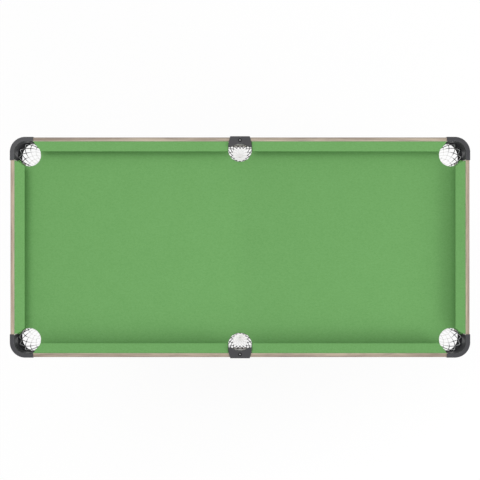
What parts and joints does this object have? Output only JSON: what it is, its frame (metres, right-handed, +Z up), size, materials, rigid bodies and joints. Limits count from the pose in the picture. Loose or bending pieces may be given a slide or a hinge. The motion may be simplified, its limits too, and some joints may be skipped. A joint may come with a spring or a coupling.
{
  "type": "billiard table",
  "caption": "Small home pool table: cloth-covered board in wood rails with moulded pocket caps, cord nets and folding tube leg frames held by slotted stays",
  "frame": {"origin": "on the floor under the middle of the table", "axes": "X along the table, Y across it, Z up"},
  "size_m": [1.403, 0.6762, 0.803],
  "materials": {
    "rail_wood": "driftwood laminate, satin",
    "board_mdf": "raw fibreboard",
    "plain_wood": "sawn softwood",
    "cloth": "green napped cloth",
    "cushion_rubber": "moulded rubber",
    "black_plastic": "fine grained moulding",
    "net_cord": "knotted off-white cord",
    "black_steel": "black powder coat",
    "zinc_steel": "zinc plated"
  },
  "bodies": {
    "table": {"apron_back": "rail_wood", "apron_front": "rail_wood", "apron_left": "rail_wood", "apron_right": "rail_wood", "board_cleats": "plain_wood", "bracket_screws": "zinc_steel", "corner_cap_back_left": "black_plastic", "corner_cap_back_right": "black_plastic", "corner_cap_front_left": "black_plastic", "corner_cap_front_right": "black_plastic", "corner_cap_screws": "zinc_steel", "cross_battens": "plain_wood", "cushion_backers_end": "plain_wood", "cushion_backers_long": "plain_wood", "cushion_cloth_back_left": "cloth", "cushion_cloth_back_right": "cloth", "cushion_cloth_front_left": "cloth", "cushion_cloth_front_right": "cloth", "cushion_cloth_left": "cloth", "cushion_cloth_right": "cloth", "cushion_rubbers_end": "cushion_rubber", "cushion_rubbers_long": "cushion_rubber", "hinge_bracket_left_back": "black_steel", "hinge_bracket_left_front": "black_steel", "hinge_bracket_right_back": "black_steel", "hinge_bracket_right_front": "black_steel", "leg_pivot_bolts": "zinc_steel", "playfield_board": "board_mdf", "playfield_cloth": "cloth", "pocket_net_back_left": "net_cord", "pocket_net_back_middle": "net_cord", "pocket_net_back_right": "net_cord", "pocket_net_front_left": "net_cord", "pocket_net_front_middle": "net_cord", "pocket_net_front_right": "net_cord", "side_cap_back": "black_plastic", "side_cap_front": "black_plastic", "side_cap_screws": "zinc_steel", "side_net_nails": "zinc_steel", "stay_rivets": "zinc_steel"},
    "leg_frame_left": {"foot_sockets_left": "black_plastic", "leg_bar_left_lower": "black_steel", "leg_bar_left_upper": "black_steel", "leg_left_back": "black_steel", "leg_left_front": "black_steel", "leg_plugs_left": "black_plastic", "stay_pins_left": "zinc_steel"},
    "stay_pair_left": {"stays_left": "zinc_steel"},
    "leg_frame_right": {"foot_sockets_right": "black_plastic", "leg_bar_right_lower": "black_steel", "leg_bar_right_upper": "black_steel", "leg_plugs_right": "black_plastic", "leg_right_back": "black_steel", "leg_right_front": "black_steel", "stay_pins_right": "zinc_steel"},
    "stay_pair_right": {"stays_right": "zinc_steel"},
    "foot_left_front": {"leveller_left_front": "black_plastic"},
    "foot_left_back": {"leveller_left_back": "black_plastic"},
    "foot_right_front": {"leveller_right_front": "black_plastic"},
    "foot_right_back": {"leveller_right_back": "black_plastic"}
  },
  "joints": [
    {"name": "leg_fold_left", "type": "hinge", "parent": "table", "child": "leg_frame_left", "pos_m": [-0.525, 0, 0.73], "axis": [0, -1, 0], "range_deg": [0, 90]},
    {"name": "stay_swing_left", "type": "hinge", "parent": "table", "child": "stay_pair_left", "pos_m": [-0.625, 0, 0.73], "axis": [0, -1, 0], "range_deg": [0, 45]},
    {"name": "leg_fold_right", "type": "hinge", "parent": "table", "child": "leg_frame_right", "pos_m": [0.525, 0, 0.73], "axis": [0, 1, 0], "range_deg": [0, 90]},
    {"name": "stay_swing_right", "type": "hinge", "parent": "table", "child": "stay_pair_right", "pos_m": [0.625, 0, 0.73], "axis": [0, 1, 0], "range_deg": [0, 45]},
    {"name": "foot_screw_left_front", "type": "slide", "parent": "leg_frame_left", "child": "foot_left_front", "axis": [0, 0, -1], "range_m": [0, 0.012]},
    {"name": "foot_screw_left_back", "type": "slide", "parent": "leg_frame_left", "child": "foot_left_back", "axis": [0, 0, -1], "range_m": [0, 0.012]},
    {"name": "foot_screw_right_front", "type": "slide", "parent": "leg_frame_right", "child": "foot_right_front", "axis": [0, 0, -1], "range_m": [0, 0.012]},
    {"name": "foot_screw_right_back", "type": "slide", "parent": "leg_frame_right", "child": "foot_right_back", "axis": [0, 0, -1], "range_m": [0, 0.012]}
  ],
  "couplings": [
    {"joint": "stay_swing_left", "follows": "leg_fold_left", "ratio": 0.5},
    {"joint": "stay_swing_right", "follows": "leg_fold_right", "ratio": 0.5}
  ]
}
